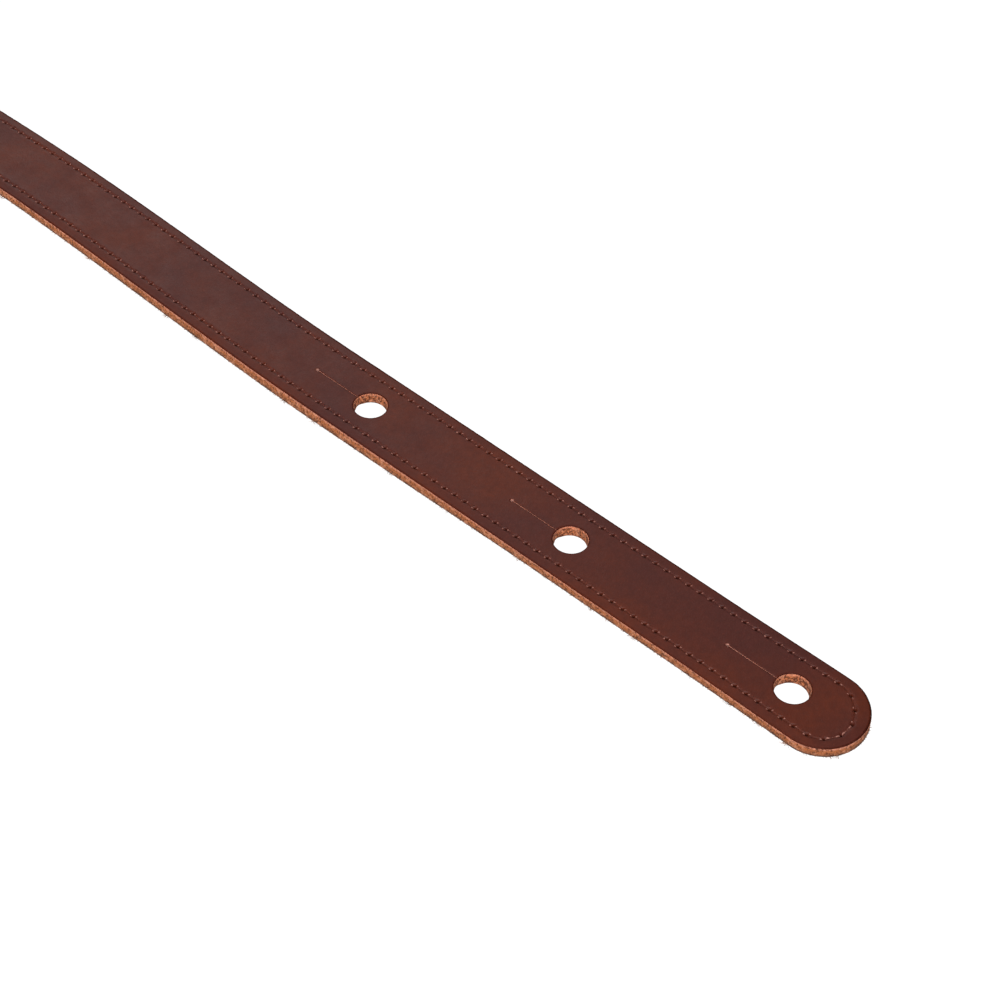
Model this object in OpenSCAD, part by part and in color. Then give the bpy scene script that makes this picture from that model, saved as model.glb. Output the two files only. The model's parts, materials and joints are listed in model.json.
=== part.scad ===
// Slim leather guitar strap: one strip of heavy leather, stitched all round, lying flat, grain side up.
// X runs along the strap to the tail tip, Y across it, Z up from the flesh side.
// The origin is on the flesh side, at the middle of the strap's length and width.
// The strip is divided by four cross hinges, which stand in for the bending of the leather.

/* [Strap] */
// Length from tip to tip
strap_length = 1320; // [1000:10:1500]
// Width of the strip
strap_width = 26; // [22:1:40]
// Thickness of the leather
thickness = 3.6; // [3:0.1:5]

/* [Button holes] */
// Diameter of each button hole
hole_d = 10; // [8:0.5:11]
// Distance from a tip to the centre of its first hole
hole_from_tip = 22; // [18:1:30]
// Distance between the tail's holes
hole_pitch = 76; // [50:1:76]
// Number of holes at the tail
tail_holes = 3; // [1:1:3]
// Distance from a hole's centre to the end of its slit
slit_reach = 21.5; // [16:0.5:24]
// Width of the slit cut
slit_width = 0.3; // [0.2:0.1:0.6]
// Diameter of the punched end of the slit
slit_end_d = 1.2; // [0.8:0.1:2]

/* [Stitching] */
// Distance from the edge to the stitch line
stitch_inset = 3.6; // [3:0.1:5]
// Distance between needle holes
stitch_pitch = 3.8; // [3:0.1:6]
// Width of the thread
thread_w = 0.7; // [0.5:0.1:1]
// Room at each side of the thread in its channel
channel_room = 0.1; // [0.05:0.05:0.2]
// Depth of the channel that the thread lies in
channel_depth = 0.5; // [0.4:0.1:0.8]

/* [Bending] */
// Clearance between a rounded end and the flat end that it meets
bend_gap = 0.05; // [0.03:0.01:0.1]

/* [Hidden] */
$fn = 64;
leather_colour = "#5b3129";
top_thread_colour = "#7a4a40";
bobbin_thread_colour = "#5e3a32";
SEGMENTS = 5;
HEAD = 0;
FRONT = 1;
SHOULDER = 2;
BACK = 3;
TAIL = 4;
segment_length = strap_length / SEGMENTS;
half_length = strap_length / 2;
half_width = strap_width / 2;
tip_centre = half_length - half_width;
stitch_y = half_width - stitch_inset;
channel_w = thread_w + 2 * channel_room;
// The thread lies this far under the leather's surface
thread_sunk = 0.05;
// How deep the thread dips at a needle hole
dip = 0.25;
cut = 1;

// Where segment i starts and ends; hinge i is at its start
function hinge_x(i) = -half_length + i * segment_length;
function segment_from(i) = i == HEAD ? -tip_centre : hinge_x(i) + thickness / 2 + bend_gap;
function segment_to(i) = i == TAIL ? tip_centre : hinge_x(i + 1);

// Stitches in a straight run, and the space left before the first one
function stitches_in(run) = floor(run / stitch_pitch);
function run_margin(run) = (run - stitches_in(run) * stitch_pitch) / 2;

// ---- Leather ----

// Outline of the whole strip, drawn in by an inset all round
module strip_outline(inset) {
    square([2 * tip_centre, strap_width - 2 * inset], center = true);
    for (side = [-1, 1])
        translate([side * tip_centre, 0])
            circle(r = half_width - inset);
}

// The channel that one thread lies in, on the grain side and on the flesh side
module thread_channels() {
    for (z = [-cut, thickness - channel_depth])
        translate([0, 0, z])
            linear_extrude(channel_depth + cut)
                difference() {
                    strip_outline(stitch_inset - channel_w / 2);
                    strip_outline(stitch_inset + channel_w / 2);
                }
}

// One button hole with its slit, which runs towards the middle of the strap
module button_hole(x) {
    inward = -sign(x);
    slit_end = x + inward * slit_reach;
    translate([x, 0, -cut])
        cylinder(d = hole_d, h = thickness + 2 * cut);
    translate([slit_end, 0, -cut])
        cylinder(d = slit_end_d, h = thickness + 2 * cut);
    translate([min(x, slit_end), -slit_width / 2, -cut])
        cube([slit_reach, slit_width, thickness + 2 * cut]);
}

// Rounded end of a segment, on the hinge's axis
module bend_nose(x) {
    translate([x, half_width, thickness / 2])
        rotate([90, 0, 0])
            cylinder(d = thickness, h = strap_width);
}

// A stretch of the strip: flat where it meets the segment before, rounded where it meets the next
module leather_segment(i) {
    from = segment_from(i);
    to = segment_to(i);
    color(leather_colour)
        difference() {
            union() {
                translate([from, -half_width, 0])
                    cube([to - from, strap_width, thickness]);
                if (i == HEAD)
                    translate([from, 0, 0])
                        cylinder(r = half_width, h = thickness);
                if (i == TAIL)
                    translate([to, 0, 0])
                        cylinder(r = half_width, h = thickness);
                else
                    bend_nose(to);
            }
            thread_channels();
            if (i == HEAD)
                button_hole(hole_from_tip - half_length);
            if (i == TAIL)
                for (n = [0:tail_holes - 1])
                    button_hole(half_length - hole_from_tip - n * hole_pitch);
        }
}

module strap_tail() leather_segment(TAIL);
module strap_back() leather_segment(BACK);
module strap_shoulder() leather_segment(SHOULDER);
module strap_front() leather_segment(FRONT);
module strap_head() leather_segment(HEAD);

// ---- Thread ----

// Side view of a straight run of thread: it lies in the channel, dips at each needle hole,
// and goes down the hole to the middle of the leather, where it meets the other thread
module thread_profile(run) {
    count = stitches_in(run);
    first = run_margin(run);
    top = thickness - thread_sunk;
    under = thickness - channel_depth;
    half = thread_w / 2;
    upper = [
        for (n = [0:count], side = [-1, 0, 1])
            [first + n * stitch_pitch + side * half, side == 0 ? top - dip : top]
    ];
    lower = [
        for (n = [count:-1:0], corner = [[1, under], [1, thickness / 2], [-1, thickness / 2], [-1, under]])
            [first + n * stitch_pitch + corner[0] * half, corner[1]]
    ];
    polygon(concat(upper, lower));
}

// The two straight rows of stitches of a segment
module thread_rows(from, to) {
    for (y = [-stitch_y, stitch_y])
        translate([from, y + thread_w / 2, 0])
            rotate([90, 0, 0])
                linear_extrude(thread_w)
                    thread_profile(to - from);
}

// The stitches round a tip, joined to both rows: side is 1 at the tail and -1 at the head
module thread_round_tip(side, row_end) {
    count = round(PI * stitch_y / stitch_pitch);
    bar_h = channel_depth - thread_sunk;
    translate([side * tip_centre, 0, thickness - channel_depth])
        linear_extrude(bar_h)
            difference() {
                circle(r = stitch_y + thread_w / 2);
                circle(r = stitch_y - thread_w / 2);
                translate([side < 0 ? 0 : -strap_width, -half_width])
                    square(strap_width);
            }
    for (y = [-stitch_y, stitch_y])
        translate([min(side * tip_centre, row_end), y - thread_w / 2, thickness - channel_depth])
            cube([abs(side * tip_centre - row_end), thread_w, bar_h]);
    for (n = [1:count - 1])
        translate([side * tip_centre, 0, 0])
            rotate(side * (n * 180 / count - 90) + (side < 0 ? 180 : 0))
                translate([stitch_y, 0, thickness / 2])
                    cylinder(d = thread_w, h = thickness / 2 - channel_depth);
}

// The thread on the grain side of segment i
module thread_segment(i) {
    from = segment_from(i);
    to = segment_to(i);
    margin = run_margin(to - from);
    thread_rows(from, to);
    if (i == TAIL)
        thread_round_tip(1, to - margin);
    if (i == HEAD)
        thread_round_tip(-1, from + margin);
}

module top_thread(i) {
    color(top_thread_colour)
        thread_segment(i);
}

module bobbin_thread(i) {
    color(bobbin_thread_colour)
        translate([0, 0, thickness])
            mirror([0, 0, 1])
                thread_segment(i);
}

module top_thread_tail() top_thread(TAIL);
module top_thread_back() top_thread(BACK);
module top_thread_shoulder() top_thread(SHOULDER);
module top_thread_front() top_thread(FRONT);
module top_thread_head() top_thread(HEAD);
module bobbin_thread_tail() bobbin_thread(TAIL);
module bobbin_thread_back() bobbin_thread(BACK);
module bobbin_thread_shoulder() bobbin_thread(SHOULDER);
module bobbin_thread_front() bobbin_thread(FRONT);
module bobbin_thread_head() bobbin_thread(HEAD);

strap_tail();
strap_back();
strap_shoulder();
strap_front();
strap_head();
top_thread_tail();
top_thread_back();
top_thread_shoulder();
top_thread_front();
top_thread_head();
bobbin_thread_tail();
bobbin_thread_back();
bobbin_thread_shoulder();
bobbin_thread_front();
bobbin_thread_head();
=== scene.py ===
import itertools
import json
import math

import bmesh
import bpy
import numpy as np
from mathutils import Matrix, Vector
from mathutils.geometry import delaunay_2d_cdt

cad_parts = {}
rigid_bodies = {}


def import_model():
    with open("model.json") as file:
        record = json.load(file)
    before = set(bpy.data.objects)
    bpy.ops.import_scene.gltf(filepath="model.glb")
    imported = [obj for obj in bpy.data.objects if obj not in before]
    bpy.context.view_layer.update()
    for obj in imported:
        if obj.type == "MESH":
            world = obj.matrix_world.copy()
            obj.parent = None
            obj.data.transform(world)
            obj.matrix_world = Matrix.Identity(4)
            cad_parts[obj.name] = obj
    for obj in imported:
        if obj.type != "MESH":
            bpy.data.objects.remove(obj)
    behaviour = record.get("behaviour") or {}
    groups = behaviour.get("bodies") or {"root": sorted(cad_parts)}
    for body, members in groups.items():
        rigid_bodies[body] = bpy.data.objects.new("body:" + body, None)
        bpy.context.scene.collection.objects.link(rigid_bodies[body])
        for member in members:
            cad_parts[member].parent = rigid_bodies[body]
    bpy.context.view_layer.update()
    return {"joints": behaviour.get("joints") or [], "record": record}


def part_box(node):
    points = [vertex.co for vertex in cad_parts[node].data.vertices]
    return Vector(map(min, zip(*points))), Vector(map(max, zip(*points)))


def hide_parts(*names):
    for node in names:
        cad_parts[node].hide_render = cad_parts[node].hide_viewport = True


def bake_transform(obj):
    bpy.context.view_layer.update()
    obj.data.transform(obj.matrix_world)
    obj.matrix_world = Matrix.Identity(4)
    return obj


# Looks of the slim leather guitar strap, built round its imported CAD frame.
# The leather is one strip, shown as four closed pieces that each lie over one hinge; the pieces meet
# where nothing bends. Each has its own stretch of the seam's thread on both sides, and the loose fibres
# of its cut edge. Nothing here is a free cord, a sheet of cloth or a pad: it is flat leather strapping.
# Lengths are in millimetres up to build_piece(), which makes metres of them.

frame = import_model()

# ---- Sizes, from the frame ----

MM = 0.001
tail_low, tail_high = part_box("strap_tail")
HALF_LENGTH = round(tail_high.x / MM, 1)
HALF_WIDTH = round(tail_high.y / MM, 1)
THICKNESS = round((tail_high.z - tail_low.z) / MM, 1)
TIP_CENTRE = HALF_LENGTH - HALF_WIDTH
BORES = [mount for mount in frame["record"]["mounts"] if mount["kind"] == "bore"]
HOLES = [bore["pos_m"][0] / MM for bore in BORES]
HOLE_R = BORES[0]["dims"]["r_mm"]
HINGES = {(joint["parent"], joint["child"]): joint["pos_m"][0] / MM for joint in frame["joints"]}
BEND_LIMIT = math.radians(frame["joints"][0]["range_deg"][1])

# The end pieces meet the middle ones here, a whole number of stitches from the strap's middle
JOIN = HALF_LENGTH * 0.3
JOIN_STITCHES = 52

# How much narrower a punched hole is at the flesh side
HOLE_TAPER = 0.3
# Marks that tell the materials the wall of a hole and the lips of a slit
HOLE_MARK = -1.0
SLIT_MARK = 1.0

# Slits, measured from their hole's centre
SLIT_REACH = 21.5
SLIT_END_R = 0.55
# Half the gap between a slit's lips, where it meets the hole and at its far end
SLIT_HALF_NEAR = 0.015
SLIT_HALF_FAR = 0.085
# How much the lips of a slit lean together below the grain
SLIT_LEAN = 0.02
# Height of a slit's lips, on its higher and its lower side, and how far out they rise
LIP_HIGH = 0.09
LIP_LOW = 0.03
LIP_WIDTH = 0.7

# Seam: stitch line and needle holes
SEAM_INSET = 3.6
SEAM_R = HALF_WIDTH - SEAM_INSET
STITCH_PITCH = JOIN / JOIN_STITCHES
ROW_NEEDLES = 340
TIP_STITCHES = 7
# How far the needle holes at the middle of a tip are past their even places
TIP_NEEDLE_SHIFT = 1.2
# How far the seam drifts, in layers of height, size and seed, and swings where it was turned by hand
SEAM_DRIFT = ((0.14, 45, 1), (0.07, 9, 2))
TURN_SWING = 0.65
TURN_CUT = 0.15
# How far a needle hole is off its place, along the seam and across it
NEEDLE_ALONG = 0.12
NEEDLE_ACROSS = 0.07
NEEDLE_SIZE = 1.3

# The trench that the thread lies in, and the pits of the needle holes
TRENCH_DEPTH = 0.16
TRENCH_HALF = 0.22
PIT_DEPTH = 0.9
PIT_ALONG = 0.42
PIT_ACROSS = 0.36
# Round a needle hole the thread has drawn the trench in, wider and shallower, and the leather puckers
DRAWN_REACH = 0.8
DRAWN_SHALLOWER = 0.08
DRAWN_WIDER = 0.1
PUCKER_HEIGHT = 0.07
PUCKER_WIDTH = 0.22

# Faces: how they lie, in layers of height, size and seed
GRAIN_LIE = ((0.05, 26, 5), (0.012, 5, 6))
FLESH_NAP = ((0.03, 2.1, 7), (0.02, 0.7, 8))
NAP_HEIGHT = 0.05
# The grain side rolls down to its edge, and swells at each side of the seam
ROLL_DROP = 0.17
ROLL_WIDTH = 1.5
SWELL_HEIGHT = 0.05
SWELL_AT = 1.0
SWELL_WIDTH = 0.7

# Corners of the cut edge, at the grain side and the flesh side, and the rims of the holes
SHOULDER_R = 0.38
FLESH_CORNER_R = 0.15
RIM_R = 0.12
# How far the foot of the cut edge leans in from its top, by place along the strap
LEAN_X = (-660, -300, 0, 300, 440, 470, 510, 550, 640, 660)
LEAN_IN = (0.2, -0.2, 0.3, 0.1, -0.3, -0.5, -0.3, 0.2, 0.2, -0.2)
# The die that cut the tips round was a little wider than the strip
TIP_FLARE = 0.25
FLARE_RUN = 40

# Bow: how far the strap lies to the +Y side, by place along it; straight at the button holes
BOW_X = (-590, -430, -230, -20, 195, 335, 470)
BOW_Y = (0, -1.6, 1.2, -1.0, 0, 3.2, 0)

# Further than anything, where a point has no seam or hole near it
NOWHERE_NEAR = 99.0

# ---- Smooth steps, bells and noise ----


def smooth(share):
    """A smooth step from 0 to 1 as share goes from 0 to 1."""
    share = np.clip(share, 0, 1)
    return share * share * (3 - 2 * share)


def bell(distance, width):
    """1 where distance is 0, falling to 0 at each side over about twice the width."""
    return np.exp(-(distance / width) ** 2)


def lattice(cells, seed):
    """A repeatable number from -1 to 1 for each row of whole numbers."""
    mixed = cells @ np.array([73856093, 19349663, 83492791]) + seed * 40503
    with np.errstate(over="ignore"):
        mixed = (mixed ^ (mixed >> 13)) * 1274126177
    mixed ^= mixed >> 16
    return (mixed & 0xFFFF) / 32767.5 - 1


def noise(x, y, z, size, seed):
    """Smooth noise from -1 to 1, in lumps of about that size."""
    x, y, z = np.broadcast_arrays(x, y, z)
    scaled = np.stack([x, y, z], axis=-1) / size
    cell = np.floor(scaled).astype(np.int64)
    share = smooth(scaled - cell)
    total = np.zeros(x.shape)
    for corner in itertools.product((0, 1), repeat=3):
        weight = np.prod(np.where(corner, share, 1 - share), axis=-1)
        total += weight * lattice(cell + np.array(corner), seed)
    return total


def layered(x, y, z, layers):
    """Noise in layers, each with its height, size and seed."""
    return sum(height * noise(x, y, z, size, seed) for height, size, seed in layers)


def bow(x):
    """How far the strap lies to the +Y side at x, in smooth steps from one place to the next."""
    step = np.clip(np.searchsorted(BOW_X, x) - 1, 0, len(BOW_X) - 2)
    x_from, x_to = np.take(BOW_X, step), np.take(BOW_X, step + 1)
    y_from, y_to = np.take(BOW_Y, step), np.take(BOW_Y, step + 1)
    return y_from + (y_to - y_from) * smooth((x - x_from) / (x_to - x_from))


# ---- Places along the seam ----
# u runs along the stitch line: it is x on the +Y side, turns round the tail tip, and runs back along the
# -Y side. The head end is the tail end turned by half a turn, so turned is 1 or -1.

TIP_RUN = math.pi * SEAM_R


def far_side(x):
    """u on the -Y side at x."""
    return 2 * TIP_CENTRE + TIP_RUN - x


def spine(u):
    """The point on the strap's middle line that u is square to, as its x, and the direction outwards."""
    arc = np.clip((u - TIP_CENTRE) / SEAM_R, 0, math.pi)
    x = np.where(u < TIP_CENTRE, u, np.where(arc < math.pi, TIP_CENTRE, far_side(u)))
    return x, math.pi / 2 - arc


def place(u, inset, turned):
    """x and y of a point beside the seam, at a distance from the outline."""
    x, angle = spine(u)
    flare = TIP_FLARE * smooth((x - TIP_CENTRE) / FLARE_RUN + 1)
    reach = HALF_WIDTH + flare - inset
    return (x + reach * np.cos(angle)) * turned, reach * np.sin(angle) * turned


def seam_wander(u, turned):
    """How far the stitch line strays inwards: a little everywhere, and more where it was turned by hand."""
    x, y = place(u, SEAM_INSET, turned)
    arc = np.clip((u - TIP_CENTRE) / SEAM_R, 0, math.pi)
    return layered(x, y, 0, SEAM_DRIFT) + TURN_SWING * np.sin(2 * arc) + TURN_CUT * np.sin(arc)


def needle_places():
    """u and pitch of every needle hole, from the head end of the +Y side to that of the -Y side."""
    half = ROW_NEEDLES // 2
    row = (np.arange(-half, half) + 0.5) * STITCH_PITCH
    far_row = far_side(row[::-1])
    run = far_row[0] - row[-1]
    share = np.arange(1, TIP_STITCHES) / TIP_STITCHES
    tip = row[-1] + run * share + TIP_NEEDLE_SHIFT * np.sin(math.pi * share)
    row_pitch = np.full(len(row), STITCH_PITCH)
    tip_pitch = np.full(len(tip), run / TIP_STITCHES)
    return np.concatenate([row, tip, far_row]), np.concatenate([row_pitch, tip_pitch, row_pitch])


NEEDLE_U, NEEDLE_PITCH = needle_places()


def needle_points(u, turned):
    """x and y of needle holes, which are never quite in line or evenly spaced."""
    x, y = place(u, SEAM_INSET, turned)
    along = NEEDLE_ALONG * noise(x, y, 7, NEEDLE_SIZE, 3)
    across = NEEDLE_ACROSS * noise(x, y, 11, NEEDLE_SIZE, 4)
    return place(u + along, SEAM_INSET + seam_wander(u, turned) + across, turned)


# ---- Heights of the two faces ----


def slit_half(inward):
    """Half the gap between a slit's lips at a distance from its hole's centre: less towards the hole."""
    return np.interp(inward, (HOLE_R, SLIT_REACH), (SLIT_HALF_NEAR, SLIT_HALF_FAR))


def keyhole_gap(x, y):
    """Distance to the nearest button hole or slit."""
    gap = np.full(np.shape(x), NOWHERE_NEAR)
    for hole in HOLES:
        inward = (hole - x) * np.sign(hole)
        side_gap = np.hypot(np.clip(-inward, 0, None) + np.clip(inward - SLIT_REACH, 0, None),
                            np.clip(np.abs(y) - slit_half(inward), 0, None))
        end_gap = np.hypot(inward - SLIT_REACH, y) - SLIT_END_R
        gap = np.minimum.reduce([gap, np.hypot(inward, y) - HOLE_R, side_gap, end_gap])
    return np.clip(gap, 0, None)


def hole_gap(x, y):
    """Distance to the rim of the nearest button hole, without its slit."""
    return np.abs(np.minimum.reduce([np.hypot(x - hole, y) for hole in HOLES]) - HOLE_R)


def slit_lip(x, y):
    """The small rise of a slit's lips, higher on one side."""
    rise = np.zeros(np.shape(x))
    for hole in HOLES:
        inward = (hole - x) * np.sign(hole)
        beside = (inward > HOLE_R) & (inward < SLIT_REACH + 1)
        height = np.where(y * np.sign(hole) > 0, LIP_HIGH, LIP_LOW)
        rise = np.where(beside, height * bell(y, LIP_WIDTH), rise)
    return rise


def rounded(depth, radius):
    """Drop of a rounded corner at a distance from the face that it turns into."""
    left = np.clip(radius - depth, 0, radius)
    return radius - np.sqrt(radius * radius - left * left)


def pitted(across, along):
    """1 in the middle of a needle hole, falling to 0 round it."""
    return bell(across, PIT_ACROSS) * bell(along, PIT_ALONG)


def stitched(across, along):
    """Depth of the trench and the needle pits, from the distances to the stitch line and needle hole."""
    drawn = bell(along, DRAWN_REACH)
    trench = (TRENCH_DEPTH - DRAWN_SHALLOWER * drawn) * bell(across, TRENCH_HALF + DRAWN_WIDER * drawn)
    pucker = PUCKER_HEIGHT * bell(np.hypot(across, along) - DRAWN_REACH, PUCKER_WIDTH)
    return trench + PIT_DEPTH * pitted(across, along) - pucker


def grain_height(x, y, inset, across, along):
    """z of the grain side."""
    lie = layered(x, y, 0, GRAIN_LIE)
    swell = SWELL_HEIGHT * (bell(across - SWELL_AT, SWELL_WIDTH) + bell(across + SWELL_AT, SWELL_WIDTH))
    roll = ROLL_DROP * bell(inset, ROLL_WIDTH)
    rim = rounded(keyhole_gap(x, y), RIM_R)
    corner = rounded(inset, SHOULDER_R)
    return THICKNESS + lie + swell + slit_lip(x, y) - roll - rim - corner - stitched(across, along)


def flesh_height(x, y, inset, across, along):
    """z of the flesh side, which is uneven but never below the surface it lies on."""
    nap = NAP_HEIGHT + layered(x, y, 0, FLESH_NAP)
    corner = rounded(inset, FLESH_CORNER_R) + rounded(keyhole_gap(x, y), RIM_R)
    return nap + corner + stitched(across, along)


# ---- Meshes ----


class Shape:
    """Points, faces and what each carries, gathered before they become one mesh."""

    def __init__(self):
        self.points = []
        self.marks = []
        self.faces = []
        self.materials = []

    def add_points(self, points, mark=0.0):
        """Adds points (n, 3) with a mark each, and returns the number of the first."""
        first = len(self.points)
        points = np.asarray(points, float).reshape(-1, 3)
        self.points.extend(points.tolist())
        self.marks.extend(np.broadcast_to(mark, len(points)).tolist())
        return first

    def add_faces(self, faces, material):
        self.faces.extend(faces)
        self.materials.extend([material] * len(faces))


def quads(rows):
    """Faces between neighbouring rows of point numbers, all the same length."""
    return [
        (near[i], near[i + 1], far[i + 1], far[i])
        for near, far in zip(rows, rows[1:])
        for i in range(len(near) - 1)
    ]


def build_piece(name, shape, materials, sharp_angle):
    """Makes the shape a mesh object in metres, with its rest points and marks for the materials."""
    mesh = bpy.data.meshes.new(name)
    straight = np.array(shape.points)
    bowed = straight + np.outer(bow(straight[:, 0]), (0, 1, 0))
    mesh.from_pydata((bowed * MM).tolist(), [], shape.faces)
    rest = mesh.attributes.new("rest", "FLOAT_VECTOR", "POINT")
    rest.data.foreach_set("vector", straight.astype(np.float32).ravel())
    mark = mesh.attributes.new("mark", "FLOAT", "POINT")
    mark.data.foreach_set("value", np.array(shape.marks, np.float32))
    for material in materials:
        mesh.materials.append(material)
    mesh.polygons.foreach_set("material_index", np.array(shape.materials, np.int32))
    solid = bmesh.new()
    solid.from_mesh(mesh)
    bmesh.ops.recalc_face_normals(solid, faces=solid.faces)
    solid.to_mesh(mesh)
    solid.free()
    mesh.shade_smooth()
    mesh.set_sharp_from_angle(angle=math.radians(sharp_angle))
    piece = bpy.data.objects.new(name, mesh)
    bpy.context.scene.collection.objects.link(piece)
    return piece


# ---- Leather ----

GRAIN, EDGE, FLESH = 0, 1, 2
# The band along the outline: its stations beside each needle hole, in stitches, and its lines of points
STATION_SHARES = np.array([-0.5, -0.34, -0.21, -0.105, -0.04, 0.04, 0.105, 0.21, 0.34])
BAND_INSET = 5.4
GRAIN_INSETS = [5.4, 4.7, 4.25, 3.95, 3.77, 3.6, 3.43, 3.25, 2.95, 2.5, 1.8, 1.1, 0.65, 0.35, 0.18, 0.06]
WALL_SHARES = [1.0, 0.9, 0.78, 0.65, 0.52, 0.4, 0.28, 0.17, 0.08]
FLESH_INSETS = [0.02, 0.25, 0.8, 1.8, 2.8, 3.3, 3.6, 3.9, 4.4, 5.4]
WALL_TOP = THICKNESS - SHOULDER_R
WALL_FOOT = 0.16
# How far in from the outline the flesh side follows the lean of the cut edge, and the painted shade of the
# rim reaches
LEAN_FADE = 3.0
RIM_FADE = 0.4
# Painted shade on the grain side's rounded rim, on average and how much darker than that it is along the +Y
# side, where the rim faces away from the lights
RIM_PAINTED_SHADE = 0.7
RIM_PAINTED_SHADE_PLUS_Y = 0.3

# Points round a hole, round a slit's end and along a slit, and the levels of their walls
HOLE_POINTS = 73
SLIT_END_POINTS = 13
SLIT_POINTS = 28
HOLE_WALL_SHARES = (0.93, 0.82, 0.68, 0.54, 0.4, 0.26, 0.12)
# How much rougher a hole's wall is than the cut edge, and how much smoother at the slit's mouth
HOLE_ROUGH = 1.3
MOUTH_ROUGH = 0.3
MOUTH_HALF = 0.8
# Painted shade round a hole's rim, and how far out it reaches
HOLE_PAINTED_SHADE = 0.5
HOLE_SHADE_FADE = 0.3

# Loose points between the bands: rows beside each band as inset and step, an even scatter, and rings
# round the holes as their room and which of their points are kept
BESIDE_ROWS = ((6.0, 1.0), (7.4, 1.9))
SCATTER_STEP = 2.3
SCATTER_HALF = 4.6
SCATTER_INSET = 8
KEYHOLE_ROOM = 1.7
KEYHOLE_RINGS = ((0.14, 1), (0.4, 1), (0.95, 2))
# Step along an open end, which the next piece covers
END_STEP = 1.1
# Stands for the number of a point that isn't made yet
NEW = -1


def edge_push(x, y, z):
    """How far the cut edge stands out or in: it is rough, and loosest towards the flesh side."""
    low = 1 - z / THICKNESS
    fine = (0.025 + 0.07 * low) * noise(x, y, z, 0.45, 9)
    coarse = (0.02 + 0.08 * low * low) * noise(x, y, z, 1.5, 10)
    wave = 0.13 * low * noise(x, y, z, 5, 11)
    return fine + coarse + wave


def foot_lean(u, turned):
    """How far the foot of the cut edge leans in from its top."""
    return np.interp(place(u, 0, turned)[0], LEAN_X, LEAN_IN)


def strip_stations(u_from, u_to):
    """u of each station of a strip of band, and the needle hole that it is nearest to."""
    inside = (NEEDLE_U > u_from) & (NEEDLE_U < u_to)
    needles, pitches = NEEDLE_U[inside], NEEDLE_PITCH[inside]
    stations = (needles[:, None] + STATION_SHARES * pitches[:, None]).ravel()
    nearest = np.repeat(needles, len(STATION_SHARES))
    return np.append(stations, u_to), np.append(nearest, needles[-1])


def band_grid(shape, u_from, u_to, turned):
    """Adds the band along the outline: grain side, shoulder, cut edge and flesh side, station by station.
    Returns the point numbers as one row for each station, from the grain side's inner line round to the
    flesh side's."""
    u, nearest = strip_stations(u_from, u_to)
    wander = seam_wander(u, turned)[:, None]
    needle_x, needle_y = needle_points(nearest, turned)

    def face(insets, height, lean):
        """The points of one face, and how deep in a needle hole each is."""
        insets = np.array(insets)
        from_edge = insets / SEAM_INSET
        from_inner_line = (BAND_INSET - insets) / (BAND_INSET - SEAM_INSET)
        strays = wander * np.clip(np.minimum(from_edge, from_inner_line), 0, 1)
        inset = insets + strays + lean * np.clip(1 - insets / LEAN_FADE, 0, 1)
        x, y = place(u[:, None], inset, turned)
        across = inset - SEAM_INSET - wander
        from_needle = (x - needle_x[:, None]) ** 2 + (y - needle_y[:, None]) ** 2
        along = np.sqrt(np.clip(from_needle - across ** 2, 0, None))
        return np.stack([x, y, height(x, y, insets, across, along)], axis=-1), pitted(across, along)

    lean = foot_lean(u[:, None], turned)
    grain, grain_pits = face(GRAIN_INSETS, grain_height, 0)
    flesh, flesh_pits = face(FLESH_INSETS, flesh_height, lean)
    levels = WALL_FOOT + (WALL_TOP - WALL_FOOT) * np.array(WALL_SHARES)
    x, y = place(u[:, None], np.zeros(len(levels)), turned)
    inset = lean * (1 - levels / THICKNESS) - edge_push(x, y, levels)
    x, y = place(u[:, None], inset, turned)
    wall = np.stack([x, y, np.broadcast_to(levels, x.shape)], axis=-1)
    # The grain side's mark is painted shade: along the rounded rim, darker along the +Y side where the rim
    # faces away from the lights, and in the needle pits
    facing = np.sin(spine(u)[1])[:, None] * turned
    rim = bell(np.array(GRAIN_INSETS), RIM_FADE) * (RIM_PAINTED_SHADE + RIM_PAINTED_SHADE_PLUS_Y * facing)
    mark = np.concatenate([np.clip(rim + grain_pits, 0, 1), np.zeros(x.shape), flesh_pits], axis=1)
    first = shape.add_points(np.concatenate([grain, wall, flesh], axis=1), mark.ravel())
    columns = mark.shape[1]
    numbers = first + np.arange(mark.size).reshape(mark.shape)
    wall_from = len(GRAIN_INSETS) - 1
    wall_to = wall_from + len(levels) + 1
    zones = ((0, wall_from + 1, GRAIN), (wall_from + 1, wall_to, EDGE), (wall_to, columns - 1, FLESH))
    for column_from, column_to, material in zones:
        shape.add_faces(quads(numbers[:, column_from:column_to + 1].tolist()), material)
    return numbers


def keyhole(hole, grow):
    """Outline of a button hole with its slit, all of it wider by grow at each side, with the directions
    into the leather."""
    r, end_r = HOLE_R + grow, SLIT_END_R + grow
    at_hole = math.asin((SLIT_HALF_NEAR + grow) / r)
    at_end = math.asin((SLIT_HALF_FAR + grow) / end_r)
    ring = np.linspace(at_hole, 2 * math.pi - at_hole, HOLE_POINTS)
    end_ring = np.linspace(at_end - math.pi, math.pi - at_end, SLIT_END_POINTS)
    run_to = SLIT_REACH - end_r * math.cos(at_end)
    run = np.linspace(r * math.cos(at_hole), run_to, SLIT_POINTS + 2)[1:-1]
    half = slit_half(run) + grow
    flat = np.ones(len(run))
    inward = np.concatenate([r * np.cos(ring), run, SLIT_REACH + end_r * np.cos(end_ring), run[::-1]])
    side = np.concatenate([r * np.sin(ring), -half, end_r * np.sin(end_ring), half[::-1]])
    into = np.concatenate([np.cos(ring), 0 * flat, np.cos(end_ring), 0 * flat])
    out = np.concatenate([np.sin(ring), -flat, np.sin(end_ring), flat])
    turn = -np.sign(hole)
    return np.stack([hole + turn * inward, turn * side], 1), np.stack([turn * into, turn * out], 1)


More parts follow.
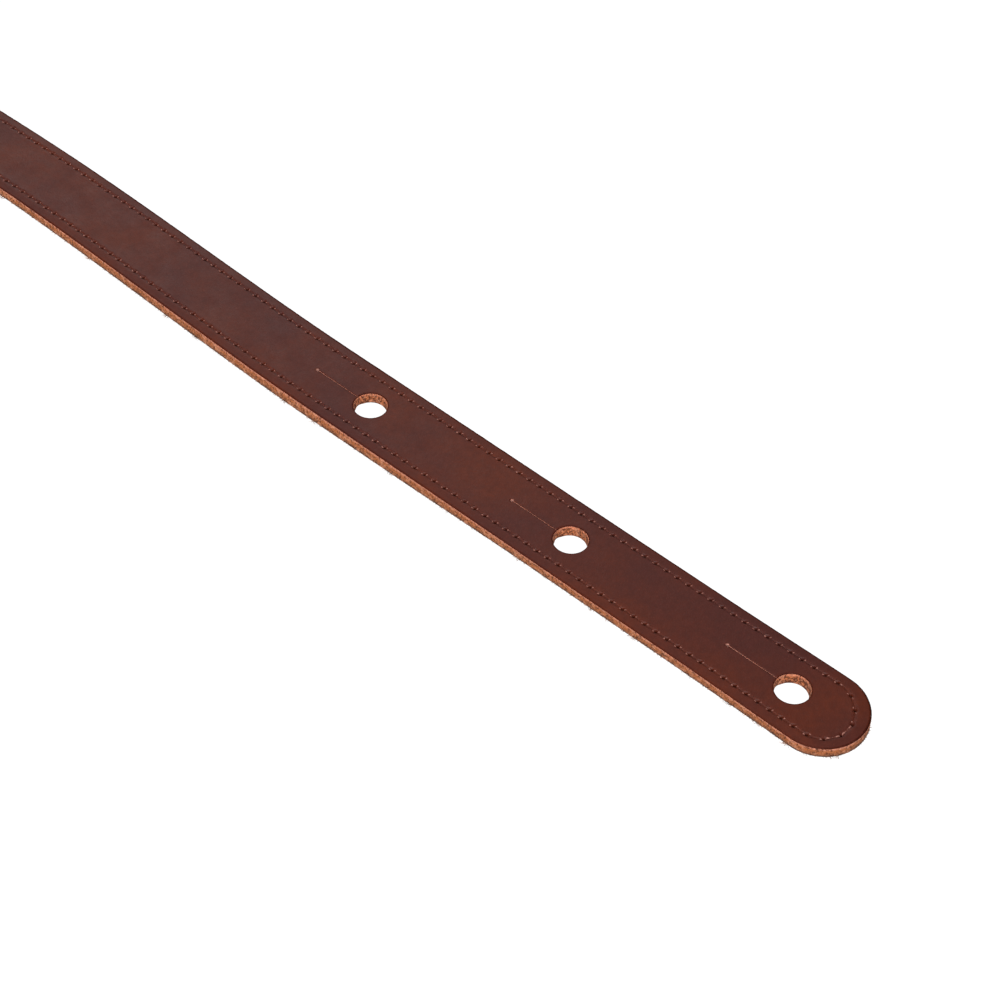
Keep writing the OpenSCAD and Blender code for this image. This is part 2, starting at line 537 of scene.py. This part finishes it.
def beside_rows(x_from, x_to):
    """Rows of loose points beside the bands, and round the tip of an end piece."""
    found = []
    row_from, row_to = max(x_from, -TIP_CENTRE), min(x_to, TIP_CENTRE)
    end = 1 if x_to > TIP_CENTRE else -1
    for inset, step in BESIDE_ROWS:
        reach = HALF_WIDTH - inset
        row = np.linspace(row_from, row_to, int((row_to - row_from) / step) + 1)[1:-1]
        found += [(x, side * reach) for x in row for side in (-1, 1)]
        if (row_from, row_to) != (x_from, x_to):
            turns = np.linspace(-math.pi / 2, math.pi / 2, int(math.pi * reach / step))
            found += [(end * (TIP_CENTRE + reach * math.cos(a)), reach * math.sin(a)) for a in turns]
    return found


def inner_points(x_from, x_to, holes):
    """Loose points between the bands: rows beside the bands, an even scatter, and rings at the holes."""
    found = beside_rows(x_from, x_to)
    for i, x in enumerate(np.arange(x_from + SCATTER_STEP, x_to, SCATTER_STEP)):
        for y in np.arange(-SCATTER_HALF + (i % 2) * SCATTER_STEP / 2, SCATTER_HALF + 0.1, SCATTER_STEP):
            if HALF_WIDTH - math.hypot(max(abs(x) - TIP_CENTRE, 0), y) > SCATTER_INSET:
                found.append((x, y))
    found = np.array(found)
    found = found[keyhole_gap(found[:, 0], found[:, 1]) > KEYHOLE_ROOM]
    rings = [keyhole(hole, grow)[0][::every] for hole in holes for grow, every in KEYHOLE_RINGS]
    return np.concatenate([found] + rings)


def triangles(points, loops):
    """Triangles over all the points inside the first loop, which have the other loops as edges."""
    edges = [pair for loop in loops for pair in zip(loop, loop[1:] + loop[:1])]
    inside_only, touching = 1, 1e-6
    made = delaunay_2d_cdt([Vector(point) for point in points], edges, [], inside_only, touching)
    faces, sources = made[2:4]
    source = np.array([numbers[0] for numbers in sources])
    return source[np.array(faces)]


def end_line(start, end):
    """Evenly spaced points across an open end, between the inner lines of two bands."""
    count = int(np.linalg.norm(end - start) / END_STEP)
    share = np.linspace(0, 1, count + 1)[1:-1, None]
    return start * (1 - share) + end * share


def leather_shape(strips, x_from, x_to):
    """One closed piece of the strap from x_from to x_to. strips are its stretches of band as u_from, u_to
    and turned, in order round the piece."""
    shape = Shape()
    grids = [band_grid(shape, *strip) for strip in strips]
    neighbours = list(zip(grids, grids[1:] + grids[:1]))
    points = np.array(shape.points)
    # Flat places: the bands' inner lines, which have their points, with the open ends between them,
    # then the keyholes and the loose points, which are new
    flat, grain_numbers, flesh_numbers, ends = [], [], [], []
    for grid, after in neighbours:
        line = end_line(points[grid[-1, 0], :2], points[after[0, 0], :2])
        ends.append(slice(len(flat) + len(grid), len(flat) + len(grid) + len(line)))
        flat += points[grid[:, 0], :2].tolist() + line.tolist()
        grain_numbers += grid[:, 0].tolist() + [NEW] * len(line)
        flesh_numbers += grid[:, -1].tolist() + [NEW] * len(line)
    loops = [list(range(len(flat)))]
    holes = [hole for hole in HOLES if x_from < hole < x_to]
    rings = []
    for hole in holes:
        ring, into = keyhole(hole, 0)
        loops.append(list(range(len(flat), len(flat) + len(ring))))
        rings.append((loops[-1], into))
        flat += ring.tolist()
    flat = np.array(flat + inner_points(x_from, x_to, holes).tolist())
    new_count = len(flat) - len(loops[0])
    grain_numbers = np.array(grain_numbers + [NEW] * new_count)
    flesh_numbers = np.array(flesh_numbers + [NEW] * new_count)
    new = grain_numbers == NEW
    x, y = flat[new, 0], flat[new, 1]
    inset = HALF_WIDTH - np.hypot(np.maximum(np.abs(x) - TIP_CENTRE, 0), y)
    far = np.full(len(x), NOWHERE_NEAR)
    # Painted shade round the rim of each button hole
    mark = HOLE_PAINTED_SHADE * bell(hole_gap(x, y), HOLE_SHADE_FADE)
    grain_first = shape.add_points(np.column_stack([x, y, grain_height(x, y, inset, far, far)]), mark)
    drawn_in = np.zeros(flat.shape)
    for ring, into in rings:
        drawn_in[ring] = into * hole_taper(flat[ring])[:, None]
    flesh = flesh_height(x, y, inset, far, far)
    flesh_first = shape.add_points(np.column_stack([flat[new] - drawn_in[new], flesh]))
    grain_numbers[new] = grain_first + np.arange(len(x))
    flesh_numbers[new] = flesh_first + np.arange(len(x))
    faces = triangles(flat.tolist(), loops)
    middle = flat[faces].mean(axis=1)
    in_leather = faces[keyhole_gap(middle[:, 0], middle[:, 1]) > 1e-4]
    shape.add_faces(grain_numbers[in_leather].tolist(), GRAIN)
    shape.add_faces(flesh_numbers[in_leather].tolist(), FLESH)
    for ring, into in rings:
        add_hole_wall(shape, flat[ring], into, grain_numbers[ring], flesh_numbers[ring])
    for (grid, after), end in zip(neighbours, ends):
        flesh_run = np.concatenate([grid[-1], flesh_numbers[end]])
        grain_run = np.concatenate([after[0][::-1], grain_numbers[end][::-1]])
        shape.add_faces([flesh_run.tolist() + grain_run.tolist()], EDGE)
    return shape


def is_slit(ring):
    """Which points of a keyhole's outline are on its slit."""
    return hole_gap(ring[:, 0], ring[:, 1]) > 0.1


def hole_taper(ring):
    """How far each point of a keyhole's outline comes in at the flesh side: nowhere at the slit, and
    gradually less towards it."""
    fade_from, fade_run = 0.2, 1.8
    from_slit = smooth((np.abs(ring[:, 1]) - fade_from) / fade_run)
    return np.where(is_slit(ring), 0, HOLE_TAPER * from_slit)


def add_hole_wall(shape, ring, into, grain_numbers, flesh_numbers):
    """The cut wall of a button hole and its slit, from the grain side's rim down to the flesh side's."""
    rows = [grain_numbers.tolist()]
    in_slit = is_slit(ring)
    taper = hole_taper(ring)
    mark = np.where(in_slit, SLIT_MARK, HOLE_MARK)
    rough = np.where(np.abs(ring[:, 1]) < MOUTH_HALF, MOUTH_ROUGH, HOLE_ROUGH)
    for share in HOLE_WALL_SHARES:
        z = np.full(len(ring), THICKNESS * share)
        # A slit's lips have come together a fifth of the way down
        closing = SLIT_LEAN * min(1, (1 - share) / 0.2)
        push = np.where(in_slit, closing, rough * edge_push(ring[:, 0], ring[:, 1], z))
        moved = ring - into * (push + taper * (1 - share))[:, None]
        first = shape.add_points(np.column_stack([moved, z]), mark)
        rows.append(list(range(first, first + len(ring))))
    rows.append(flesh_numbers.tolist())
    closed = [row + row[:1] for row in rows]
    shape.add_faces(quads(closed), EDGE)


# ---- Thread ----

THREAD_R = 0.2
THREAD_SIDES = 9
PLIES = 3
# Share of its radius that the thread has on the back of a ply and between two
PLY_OUT = 1.08
PLY_IN = 0.86
THREAD_TWIST = 2 * math.pi / 2.4
STITCH_SHARES = np.array([0, 0.03, 0.07, 0.11, 0.15, 0.2, 0.3, 0.5, 0.7, 0.8, 0.85, 0.89, 0.93, 0.97, 1])
# How far a stitch starts outside the stitch line and ends inside it, and strays from it between
STITCH_SLANT = 0.5
SLANT_SHARE = 0.08
STITCH_SWING = 0.05
STITCH_SIZE = 1.7
# Distance from a needle hole's middle to where a stitch comes out of it
STITCH_ENTRY = 0.3
# Where a stitch humps, and over how much of its length
HUMP_SHARE = 0.14
HUMP_WIDTH = 0.075
HUMP_PROUD = 0.02
# How far a tight stitch is sunk between its humps, and how much less a slack one is
STITCH_SUNK = 0.46
SLACK_RISE = 0.36
# How deep a stitch dives at its ends, and over how much of its length
DIVE_DEPTH = 1.3
DIVE_SHARE = 0.045
# How slack a stitch is from 0 to 1, how much that varies, and where round a tip the seam was left slack
TIGHT = 0.15
SLACK = 0.9
SLACK_VARIES = 0.15
SLACK_FROM = 0.45
SLACK_TO = 0.72
# Less than half a stitch: a stitch whose middle is this near to a place crosses it
NEAR = 0.5


def stitch_heights(share, slack):
    """How far a stitch's middle line is above the leather: it humps after each needle hole, dives into it,
    and is drawn under the surface between, unless it is slack."""
    from_end = np.minimum(share, 1 - share)
    sunk = STITCH_SUNK - SLACK_RISE * slack
    hump = (sunk + HUMP_PROUD) * bell(from_end - HUMP_SHARE, HUMP_WIDTH)
    return hump - sunk - DIVE_DEPTH * bell(from_end, DIVE_SHARE)


def add_stitch(shape, start, end, side, slack):
    """One stitch between two needle holes, as a twisted three-ply tube. side is 1 on the grain side and
    -1 on the flesh side."""
    start, end = np.array(start), np.array(end)
    run = end - start
    length = np.linalg.norm(run)
    along = run / length
    across = np.array([-along[1], along[0]])
    share = STITCH_SHARES
    from_end = np.minimum(share, 1 - share)
    walk = STITCH_ENTRY + share * (length - 2 * STITCH_ENTRY)
    swing = STITCH_SWING * noise(start[0], start[1], 5 * side, STITCH_SIZE, 12)
    varied = slack + SLACK_VARIES * noise(start[0], start[1], 5 * side, STITCH_SIZE, 13)
    slack = np.clip(varied, 0, 1)
    surface = THICKNESS if side > 0 else 0.0
    z = surface + side * stitch_heights(share, slack)
    slant = STITCH_SLANT * np.cos(math.pi * share) * (1 - bell(from_end, SLANT_SHARE)) * (1 - slack)
    off_line = swing * np.sin(math.pi * share) + slant
    centres = np.column_stack([start + along * walk[:, None] + across * off_line[:, None], z])
    corner = np.arange(THREAD_SIDES)
    radii = THREAD_R * np.where(corner % (THREAD_SIDES // PLIES) == 0, PLY_OUT, PLY_IN)
    slope = np.gradient(z, walk)
    level = 1 / np.hypot(1, slope)
    angle = corner * 2 * math.pi / THREAD_SIDES + (walk * THREAD_TWIST + start[0])[:, None]
    sideways = radii * np.cos(angle)
    upward = radii * np.sin(angle)
    forward = -upward * (slope * level)[:, None]
    points = (centres[:, None, :]
              + sideways[..., None] * np.append(across, 0)
              + forward[..., None] * np.append(along, 0)
              + (upward * level[:, None])[..., None] * np.array([0, 0, 1]))
    # How much painted highlight the thread takes: full on the humps and on slack stitches, none where it is
    # sunk and takes painted shade
    highlight_share = np.maximum(bell(from_end - HUMP_SHARE, HUMP_WIDTH), slack)
    first = shape.add_points(points, np.repeat(highlight_share, THREAD_SIDES))
    rings = [[first + r * THREAD_SIDES + i for i in range(THREAD_SIDES)] for r in range(len(share))]
    shape.add_faces(quads([ring + ring[:1] for ring in rings]), 0)
    shape.add_faces([tuple(rings[0][::-1]), tuple(rings[-1])], 0)


def thread_shape(strips, x_from, x_to, side):
    """The stitches of one side of a piece. A stitch that crosses x_from is its own, one that crosses x_to
    is the next piece's."""
    shape = Shape()
    middle = (NEEDLE_U[:-1] + NEEDLE_U[1:]) / 2
    for u_from, u_to, turned in strips:
        x, y = needle_points(NEEDLE_U, turned)
        middle_x = spine(middle)[0] * turned
        in_strip = (middle > u_from - NEAR) & (middle < u_to + NEAR)
        is_own = (middle_x > x_from - NEAR) & (middle_x < x_to - NEAR)
        for i in np.flatnonzero(in_strip & is_own):
            arc = (middle[i] - TIP_CENTRE) / TIP_RUN
            slack = SLACK if SLACK_FROM < arc < SLACK_TO and side > 0 else TIGHT
            add_stitch(shape, (x[i], y[i]), (x[i + 1], y[i + 1]), side, slack)
    return shape


# ---- Loose fibres of the cut edge ----

FIBRE_RINGS = 4
FIBRE_SIDES = 3
FIBRE_SEED = 20
FIBRES_PER_MM = 4
MM_PER_TUFT = 38
TUFT_FIBRES = 14
# How far inside the cut edge a fibre starts, and what is left of its radius at its tip
FIBRE_ROOT = 0.08
FIBRE_TAPER = 0.85
# Nothing hangs lower than this
FIBRE_FLOOR = 0.03
UP = np.array([0, 0, 1])


def fibre_shape(strips, seed):
    """Short fibres that stand out of the foot of the cut edge, with a few longer tufts."""
    shape = Shape()
    random = np.random.default_rng(seed)
    for u_from, u_to, turned in strips:
        run = u_to - u_from
        short = random.uniform(u_from, u_to, int(run * FIBRES_PER_MM))
        tufts = random.uniform(u_from, u_to, max(1, int(run / MM_PER_TUFT)))
        tufted = np.repeat(tufts, TUFT_FIBRES) + random.normal(0, 0.5, TUFT_FIBRES * len(tufts))
        u = np.clip(np.concatenate([short, tufted]), u_from + 0.2, u_to - 0.2)
        count = len(u)
        is_tuft = np.arange(count) >= len(short)
        length = np.where(is_tuft, random.uniform(0.8, 1.9, count), random.gamma(3, 0.14, count) + 0.2)
        foot = np.abs(random.normal(0, 0.35, count)) + 0.08
        x, y = place(u, FIBRE_ROOT + foot_lean(u, turned) * (1 - foot / THICKNESS), turned)
        outer_x, outer_y = place(u, -1, turned)
        out = np.column_stack([outer_x - x, outer_y - y, np.zeros(count)])
        out /= np.linalg.norm(out, axis=1)[:, None]
        along = np.column_stack([-out[:, 1], out[:, 0], np.zeros(count)])
        lean = random.normal(0, 0.7, (count, 1))
        curl = random.normal(0, 0.35, (count, 1))
        rise = random.normal(-0.05, 0.25, (count, 1))
        thick = random.uniform(0.035, 0.085, count)
        base = np.column_stack([x, y, foot])
        rings = []
        for share in np.linspace(0, 1, FIBRE_RINGS):
            heading = out * (1 - 0.3 * share) + along * (lean + curl * share) + UP * rise * share
            centre = base + (length * share)[:, None] * heading
            centre[:, 2] = np.maximum(centre[:, 2], FIBRE_FLOOR)
            radius = (thick * (1 - FIBRE_TAPER * share))[:, None]
            for turn in np.arange(FIBRE_SIDES) * 2 * math.pi / FIBRE_SIDES:
                rings.append(centre + radius * (along * math.cos(turn) + UP * math.sin(turn)))
        first = shape.add_points(np.stack(rings, 1))
        numbers = np.arange(first, first + len(rings) * count)
        numbers = numbers.reshape(count, FIBRE_RINGS, FIBRE_SIDES)
        for fibre in numbers.tolist():
            shape.add_faces(quads([ring + ring[:1] for ring in fibre]), 0)
            shape.add_faces([tuple(fibre[0][::-1]), tuple(fibre[-1])], 0)
    return shape


# ---- Materials ----


def srgb(red, green, blue):
    """A colour from its usual 0 to 255 values, as the shaders take it."""
    shares = [value / 255 for value in (red, green, blue)]
    return [s / 12.92 if s <= 0.04045 else ((s + 0.055) / 1.055) ** 2.4 for s in shares] + [1]


class Shader:
    """A material's node tree, with short calls to add nodes and join them."""

    def __init__(self, name):
        self.material = bpy.data.materials.new(name)
        self.material.use_nodes = True
        self.tree = self.material.node_tree
        self.tree.nodes.clear()
        self.output = self.tree.nodes.new("ShaderNodeOutputMaterial")

    def node(self, kind, inputs, **settings):
        """A node with its settings, and its inputs by name or number: each a value or another's output."""
        made = self.tree.nodes.new("ShaderNode" + kind)
        for key, value in settings.items():
            setattr(made, key, value)
        for key, value in inputs.items():
            if isinstance(value, bpy.types.NodeSocket):
                self.tree.links.new(value, made.inputs[key])
            else:
                made.inputs[key].default_value = value
        return made

    def rest(self):
        """Where a point is at rest, in millimetres, so that a pattern stays on the leather as it bends."""
        return self.node("Attribute", {}, attribute_name="rest").outputs["Vector"]

    def mark(self):
        """What the piece's points are marked with: painted shade on the grain side, holes, slits, or
        painted highlight on thread that shows.
        """
        return self.node("Attribute", {}, attribute_name="mark").outputs["Fac"]

    def noise(self, vector, scale, detail=3.0, roughness=0.5):
        """Noise with that many lumps to the millimetre, from 0 to 1."""
        inputs = {"Vector": vector, "Scale": scale, "Detail": detail, "Roughness": roughness}
        return self.node("TexNoise", inputs).outputs["Fac"]

    def mix(self, share, a, b, blend="MIX"):
        """Colour a turning into colour b as share goes from 0 to 1, by the node's sockets for colours."""
        return self.node("Mix", {0: share, 6: a, 7: b}, data_type="RGBA", blend_type=blend).outputs[2]

    def span(self, value, low, high, to_low=0.0, to_high=1.0):
        """value moved from one range to another, and kept inside it."""
        inputs = {0: value, 1: low, 2: high, 3: to_low, 4: to_high}
        return self.node("MapRange", inputs).outputs[0]

    def math(self, operation, a, b):
        return self.node("Math", {0: a, 1: b}, operation=operation).outputs[0]

    def ramp(self, share, stops):
        """A colour for each place from 0 to 1."""
        made = self.node("ValToRGB", {0: share})
        ramp = made.color_ramp
        while len(ramp.elements) < len(stops):
            ramp.elements.new(1)
        for element, (position, colour) in zip(ramp.elements, stops):
            element.position = position
            element.color = colour
        return made.outputs[0]

    def bump(self, height, depth, normal=None):
        """A bump from a height of 0 to 1 that is depth millimetres deep."""
        inputs = {"Height": height, "Distance": depth * MM, "Strength": 1.0}
        if normal is not None:
            inputs["Normal"] = normal
        return self.node("Bump", inputs).outputs[0]

    def finish(self, **inputs):
        """Joins up the surface and returns the material."""
        named = {key.replace("_", " "): value for key, value in inputs.items()}
        surface = self.node("BsdfPrincipled", named)
        self.tree.links.new(surface.outputs[0], self.output.inputs[0])
        return self.material


def grain_material():
    """Oiled dark chestnut grain leather, with fine pores and soft clouds of colour, and painted shade along
    the cut rim, in the needle pits and round the holes.
    """
    s = Shader("grain_leather")
    at = s.rest()
    clouds = s.noise(at, 0.035, 3, 0.55)
    colour = s.mix(s.span(clouds, 0.35, 0.65), srgb(73, 31, 25), srgb(87, 34, 17))
    mottle = s.noise(at, 0.5, 5, 0.6)
    colour = s.mix(s.span(mottle, 0.3, 0.7, 0, 0.45), colour, srgb(58, 23, 16))
    speck = s.noise(at, 1.6, 3, 0.7)
    colour = s.mix(s.span(speck, 0.55, 0.75, 0, 0.35), colour, srgb(102, 47, 32))
    painted_shade = s.mark()
    # Painted shade from the mark: near black along the rim, in the needle pits and round the holes
    colour = s.mix(s.span(painted_shade, 0.15, 0.85, 0, 0.95), colour, srgb(30, 11, 7))
    pores = s.node("TexVoronoi", {"Vector": at, "Scale": 2.3, "Randomness": 1.0}, feature="F1")
    creases = s.noise(at, 0.9, 6, 0.65)
    normal = s.bump(s.span(pores.outputs["Distance"], 0.05, 0.45), 0.022)
    normal = s.bump(creases, 0.07, normal)
    gloss = s.noise(at, 0.16, 4, 0.6)
    return s.finish(
        Base_Color=colour,
        Roughness=s.span(gloss, 0.3, 0.7, 0.4, 0.5),
        Specular_IOR_Level=s.span(painted_shade, 0.02, 0.3, 0.23, 0.03),
        Normal=normal,
    )


def edge_material():
    """Raw cut edge: a smooth pale band under the grain, a loose orange core, a dark fringe at the foot."""
    s = Shader("cut_edge_leather")
    at = s.rest()
    height = s.node("SeparateXYZ", {0: at}).outputs["Z"]
    drift = s.span(s.noise(at, 0.8, 3), 0.2, 0.8, -0.22, 0.22)
    level = s.span(s.math("ADD", height, drift), 0.0, THICKNESS)
    core = s.ramp(level, [
        (0.0, srgb(58, 42, 36)),
        (0.1, srgb(84, 56, 42)),
        (0.22, srgb(146, 92, 62)),
        (0.45, srgb(168, 97, 56)),
        (0.68, srgb(168, 97, 56)),
        (0.76, srgb(196, 125, 98)),
        (1.0, srgb(196, 123, 98)),
    ])
    # The punched holes are brighter, with thicker grit below their rims
    in_hole = s.span(s.mark(), HOLE_MARK, 0, 1, 0)
    core = s.mix(s.math("MULTIPLY", in_hole, 0.4), core, srgb(232, 138, 92))
    below_rim = s.span(height, THICKNESS - 1.0, THICKNESS - 0.6, -0.07, 0)
    grit = s.math("ADD", s.noise(at, 1.3, 4, 0.8), s.math("MULTIPLY", in_hole, below_rim))
    colour = s.mix(s.span(grit, 0.42, 0.5, 0.95, 0), core, srgb(82, 40, 21))
    colour = s.mix(s.span(s.noise(at, 0.8, 4, 0.65), 0.52, 0.64, 0, 0.6), colour, srgb(208, 144, 112))
    stretched = s.node("VectorMath", {0: at, 1: (1.0, 1.0, 0.5)}, operation="MULTIPLY").outputs[0]
    strands = s.noise(stretched, 3.4, 4, 0.7)
    normal = s.bump(strands, 0.3)
    # The lips of a slit are cut clean and stay pale
    colour = s.mix(s.span(s.mark(), 0, SLIT_MARK, 0, 0.7), colour, srgb(206, 158, 146))
    return s.finish(Base_Color=colour, Roughness=0.85, Specular_IOR_Level=0.2, Normal=normal)


def flesh_material():
    """Brown flesh side: matt suede with a short nap."""
    s = Shader("flesh_leather")
    at = s.rest()
    clouds = s.noise(at, 0.06, 4, 0.6)
    colour = s.mix(s.span(clouds, 0.35, 0.65), srgb(104, 70, 54), srgb(126, 87, 67))
    nap = s.noise(at, 2.2, 5, 0.75)
    colour = s.mix(s.span(nap, 0.4, 0.65, 0.5, 0), colour, srgb(82, 54, 42))
    normal = s.bump(nap, 0.2)
    return s.finish(Base_Color=colour, Roughness=0.95, Specular_IOR_Level=0.15, Sheen_Weight=0.25,
                    Sheen_Roughness=0.5, Normal=normal)


def thread_material():
    """Brown bonded thread: painted shade where it is sunk in the trench, and a lighter painted highlight
    where it humps out of a needle hole or lies slack.
    """
    s = Shader("brown_thread")
    at = s.rest()
    tone = s.noise(at, 0.5, 3, 0.6)
    proud_highlight = s.mix(s.span(tone, 0.3, 0.7), srgb(132, 84, 74), srgb(166, 116, 104))
    # Painted shade on the sunk thread, turning into the painted highlight where the mark says the thread
    # shows
    colour = s.mix(s.mark(), srgb(54, 23, 17), proud_highlight)
    strands = s.noise(at, 9.0, 2, 0.5)
    normal = s.bump(strands, 0.05)
    return s.finish(Base_Color=colour, Roughness=0.6, Specular_IOR_Level=0.12, Normal=normal)


def fibre_material():
    """Loose leather fibres, from tan to the flesh side's dark brown."""
    s = Shader("edge_fibres")
    tone = s.noise(s.rest(), 0.9, 3, 0.6)
    colour = s.mix(s.span(tone, 0.35, 0.65), srgb(84, 56, 42), srgb(166, 116, 86))
    return s.finish(Base_Color=colour, Roughness=0.9, Specular_IOR_Level=0.2)


LEATHER_MATERIALS = [grain_material(), edge_material(), flesh_material()]
THREAD_MATERIALS = [thread_material()]
FIBRE_MATERIALS = [fibre_material()]

# ---- The pieces ----
# Each crosses one hinge, and covers an x range with its strips of band. The end pieces go round their tip
# in one strip.


def middle_strips(x_from, x_to):
    """The two strips of a middle piece: along the +Y side, and back along the -Y side."""
    return [(x_from, x_to, 1), (far_side(x_to), far_side(x_from), 1)]


TAIL_STRIPS = [(JOIN, far_side(JOIN), 1)]
HEAD_STRIPS = [(JOIN, far_side(JOIN), -1)]
# The bodies at each side of the hinge, the bodies whose CAD nodes the piece stands for, strips and x range
PIECES = [
    ("tail", "back", ("tail",), TAIL_STRIPS, (JOIN, HALF_LENGTH)),
    ("back", "shoulder", ("back", "shoulder"), middle_strips(0, JOIN), (0, JOIN)),
    ("shoulder", "front", ("shoulder", "front"), middle_strips(-JOIN, 0), (-JOIN, 0)),
    ("front", "head", ("head",), HEAD_STRIPS, (-HALF_LENGTH, -JOIN)),
]
LEATHER_SHARP = 50
FINE_SHARP = 60


def bend(piece, nodes):
    """Bakes the piece's place into its mesh and hides the CAD nodes that it stands for."""
    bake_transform(piece)
    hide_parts(*nodes)


for number, (parent, child, bodies, strips, x_range) in enumerate(PIECES):
    place_name = f"{parent}_{child}"
    shape = leather_shape(strips, *x_range)
    leather = build_piece(f"leather_{place_name}", shape, LEATHER_MATERIALS, LEATHER_SHARP)
    bend(leather, [f"strap_{body}" for body in bodies])
    for thread, side in (("top", 1), ("bobbin", -1)):
        shape = thread_shape(strips, *x_range, side)
        stitches = build_piece(f"{thread}_stitches_{place_name}", shape, THREAD_MATERIALS, FINE_SHARP)
        bend(stitches, [f"{thread}_thread_{body}" for body in bodies])
    shape = fibre_shape(strips, FIBRE_SEED + number)
    fibres = build_piece(f"edge_fibres_{place_name}", shape, FIBRE_MATERIALS, FINE_SHARP)
    bend(fibres, [])

# ---- Floor, light and camera, in metres ----

FLOOR_HALF = 6
# How far the floor is below the lowest point that the strap hangs to
FLOOR_ROOM = 0.03
WORLD_LIGHT = 0.21
TAIL_END = Vector((0.5, 0, 0))
# Name, place, size and power of each light
LIGHTS = (
    ("key", (2.6, -2.8, 2.6), 2.2, 130),
    ("overhead", (0.8, -1.6, 4.0), 2.6, 110),
    ("back", (-1.97, 2.13, 2.37), 1.4, 20),
)
CAMERA_TARGET = Vector((0.5358, 0.0004, 0))
CAMERA_DISTANCE = 0.6633
CAMERA_AZIMUTH = math.radians(39.9)
CAMERA_ELEVATION = math.radians(46.85)
CAMERA_ROLL = math.radians(2.55)
LENS = 85.3
SENSOR = 36


def floor_material():
    """Pale matt floor with a faint glow, as a lit sweep has. It fades to the white of the world far off,
    and is clear from below so that the underside can be looked at."""
    s = Shader("pale_floor")
    paint = s.node("BsdfPrincipled", {
        "Base Color": (0.9, 0.9, 0.9, 1),
        "Roughness": 1.0,
        "Specular IOR Level": 0.0,
        "Emission Color": (1, 1, 1, 1),
        "Emission Strength": 0.31,
    })
    white = s.node("Emission", {"Color": (1, 1, 1, 1), "Strength": 1.15})
    geometry = s.node("NewGeometry", {})
    far = s.node("VectorMath", {0: geometry.outputs["Position"]}, operation="LENGTH").outputs["Value"]
    seen = s.node("LightPath", {}).outputs["Is Camera Ray"]
    fade = s.math("MULTIPLY", s.span(far, 1.0, 2.4), seen)
    top = s.node("MixShader", {0: fade, 1: paint.outputs[0], 2: white.outputs[0]})
    clear = s.node("BsdfTransparent", {})
    below = geometry.outputs["Backfacing"]
    both = s.node("MixShader", {0: below, 1: top.outputs[0], 2: clear.outputs[0]})
    s.tree.links.new(both.outputs[0], s.output.inputs[0])
    return s.material


def add_floor():
    """A square floor, a little further down than the strap hangs when it bends at one hinge alone."""
    hangs = (max(HINGES.values()) + HALF_LENGTH) * MM * math.sin(BEND_LIMIT)
    z = -hangs - FLOOR_ROOM
    mesh = bpy.data.meshes.new("floor")
    corners = [(x * FLOOR_HALF, y * FLOOR_HALF, z) for x, y in ((-1, -1), (1, -1), (1, 1), (-1, 1))]
    mesh.from_pydata(corners, [], [(0, 1, 2, 3)])
    mesh.materials.append(floor_material())
    floor = bpy.data.objects.new("floor", mesh)
    bpy.context.scene.collection.objects.link(floor)


def add_light(name, location, size, power):
    """A square soft light that points at the strap's tail end."""
    lamp = bpy.data.lights.new(name, "AREA")
    lamp.size = size
    lamp.energy = power
    light = bpy.data.objects.new(name, lamp)
    light.location = location
    light.rotation_euler = (TAIL_END - Vector(location)).to_track_quat("-Z", "Y").to_euler()
    bpy.context.scene.collection.objects.link(light)


def add_world():
    """White all round to look at, and a softer grey as light."""
    world = bpy.data.worlds.new("studio")
    world.use_nodes = True
    tree = world.node_tree
    background = tree.nodes["Background"]
    path = tree.nodes.new("ShaderNodeLightPath")
    level = tree.nodes.new("ShaderNodeMapRange")
    level.inputs["To Min"].default_value = WORLD_LIGHT
    level.inputs["To Max"].default_value = 1.0
    tree.links.new(path.outputs["Is Camera Ray"], level.inputs[0])
    tree.links.new(level.outputs[0], background.inputs["Strength"])
    background.inputs["Color"].default_value = (1, 1, 1, 1)
    bpy.context.scene.world = world


def add_camera():
    """Looks down at the tail end from in front and to its right."""
    back = Vector((math.sin(CAMERA_AZIMUTH), -math.cos(CAMERA_AZIMUTH), 0)) * math.cos(CAMERA_ELEVATION)
    back.z = math.sin(CAMERA_ELEVATION)
    right = (-back).cross(Vector((0, 0, 1))).normalized()
    up = right.cross(-back)
    across = right * math.cos(CAMERA_ROLL) + up * math.sin(CAMERA_ROLL)
    upright = up * math.cos(CAMERA_ROLL) - right * math.sin(CAMERA_ROLL)
    lens = bpy.data.cameras.new("camera")
    lens.sensor_width = SENSOR
    lens.lens = LENS
    lens.clip_start = 0.05
    lens.clip_end = 50
    camera = bpy.data.objects.new("camera", lens)
    turn = Matrix((across, upright, back)).transposed()
    camera.matrix_world = Matrix.Translation(CAMERA_TARGET + back * CAMERA_DISTANCE) @ turn.to_4x4()
    bpy.context.scene.collection.objects.link(camera)
    bpy.context.scene.camera = camera


add_floor()
for light_settings in LIGHTS:
    add_light(*light_settings)
add_world()
add_camera()
bpy.context.scene.view_settings.view_transform = "Standard"
